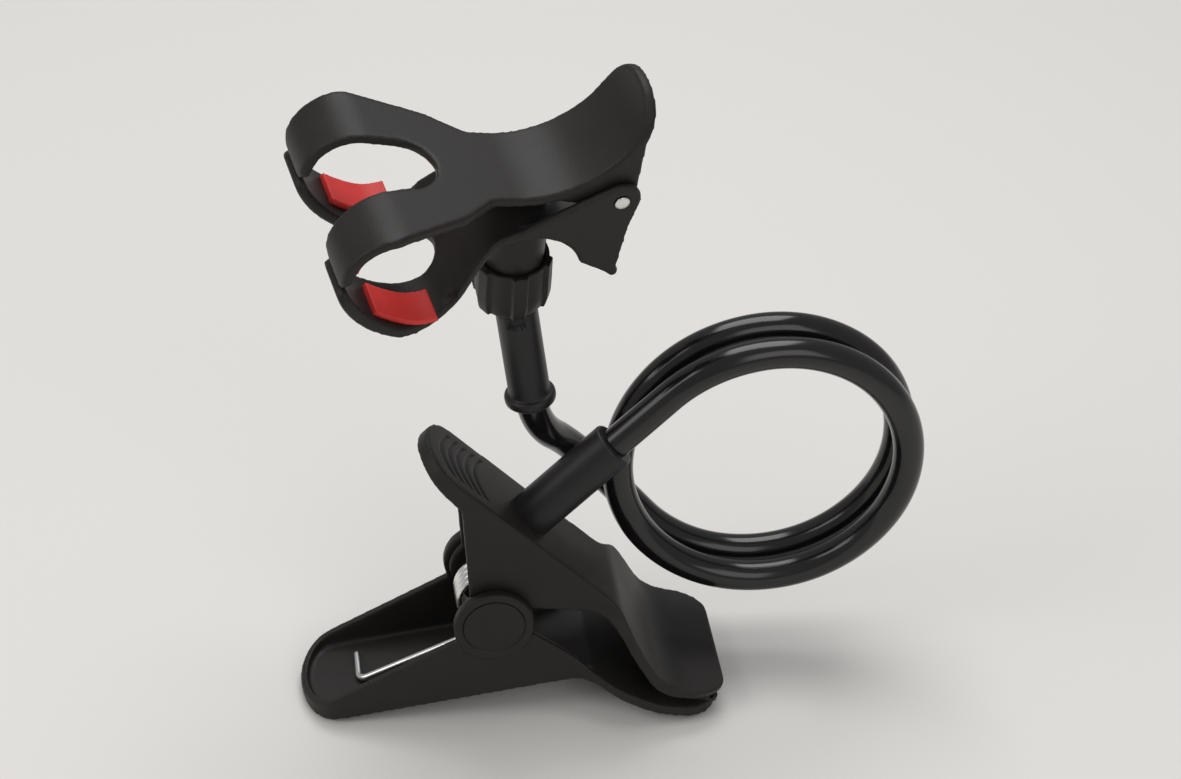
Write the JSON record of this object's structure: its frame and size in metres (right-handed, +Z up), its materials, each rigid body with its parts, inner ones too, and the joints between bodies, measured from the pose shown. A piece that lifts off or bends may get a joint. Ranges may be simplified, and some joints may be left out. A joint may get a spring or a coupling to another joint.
{
  "type": "gooseneck phone holder",
  "caption": "Phone holder with a spring clamp for a table edge, a coiled bendable arm and a two-jaw phone clip on a ball joint.",
  "frame": {"origin": "middle of the flat under the clamp's handle end, on the table", "axes": "+X from the clamp's handles to its mouth, Y along the clamp's pivot pin, +Z up"},
  "size_m": [0.1837, 0.0652, 0.1996],
  "materials": {
    "plastic": "satin texture",
    "sleeve": "smooth satin",
    "pvc": "semi-gloss",
    "core": "drawn",
    "steel": "bright",
    "rubber": "matt",
    "red_pad": "soft matt"
  },
  "bodies": {
    "base": {"base_lower_jaw": "plastic", "base_pivot_pin": "plastic", "base_spring": "steel", "lower_bill_pad": "rubber"},
    "arm": {"base_upper_jaw": "plastic", "upper_bill_pad": "rubber", "arm_socket": "sleeve", "arm_sleeve": "pvc", "arm_core": "core", "ball_stem": "sleeve"},
    "ball": {"ball_stud": "sleeve"},
    "collar": {"lock_collar": "plastic", "ball_seat": "sleeve"},
    "clip": {"clip_lower_jaw": "plastic", "clip_rivet": "steel", "clip_spring": "steel", "lower_front_pad": "red_pad", "lower_rear_pad": "red_pad"},
    "clip_jaw": {"clip_upper_jaw": "plastic", "upper_front_pad": "red_pad", "upper_rear_pad": "red_pad"}
  },
  "joints": [
    {"name": "clamp_open", "type": "hinge", "parent": "base", "child": "arm", "pos_m": [0.0518, 0, 0.03327], "axis": [0, -1, 0], "range_deg": [0, 32], "stiffness_Nm_per_rad": 1.2, "springref_deg": -51.57, "deforming": ["base_spring"]},
    {"name": "ball_swivel", "type": "hinge", "parent": "arm", "child": "ball", "pos_m": [0.05715, 0.01169, 0.13217], "axis": [-0.1603, -0.02, 0.9869], "range_deg": [-100, 100]},
    {"name": "ball_tilt", "type": "hinge", "parent": "ball", "child": "collar", "pos_m": [0.05715, 0.01169, 0.13217], "axis": [0.8492, 0.5068, 0.1482], "range_deg": [-38, 7]},
    {"name": "clip_turn", "type": "hinge", "parent": "collar", "child": "clip", "pos_m": [0.05715, 0.01169, 0.13217], "axis": [-0.0193, -0.2508, 0.9678], "continuous": true},
    {"name": "clip_open", "type": "hinge", "parent": "clip", "child": "clip_jaw", "pos_m": [0.07989, 0.00679, 0.17082], "axis": [-0.2064, 0.9482, 0.2416], "range_deg": [0, 40], "stiffness_Nm_per_rad": 0.35, "springref_deg": -45.84, "deforming": ["clip_spring"]}
  ]
}
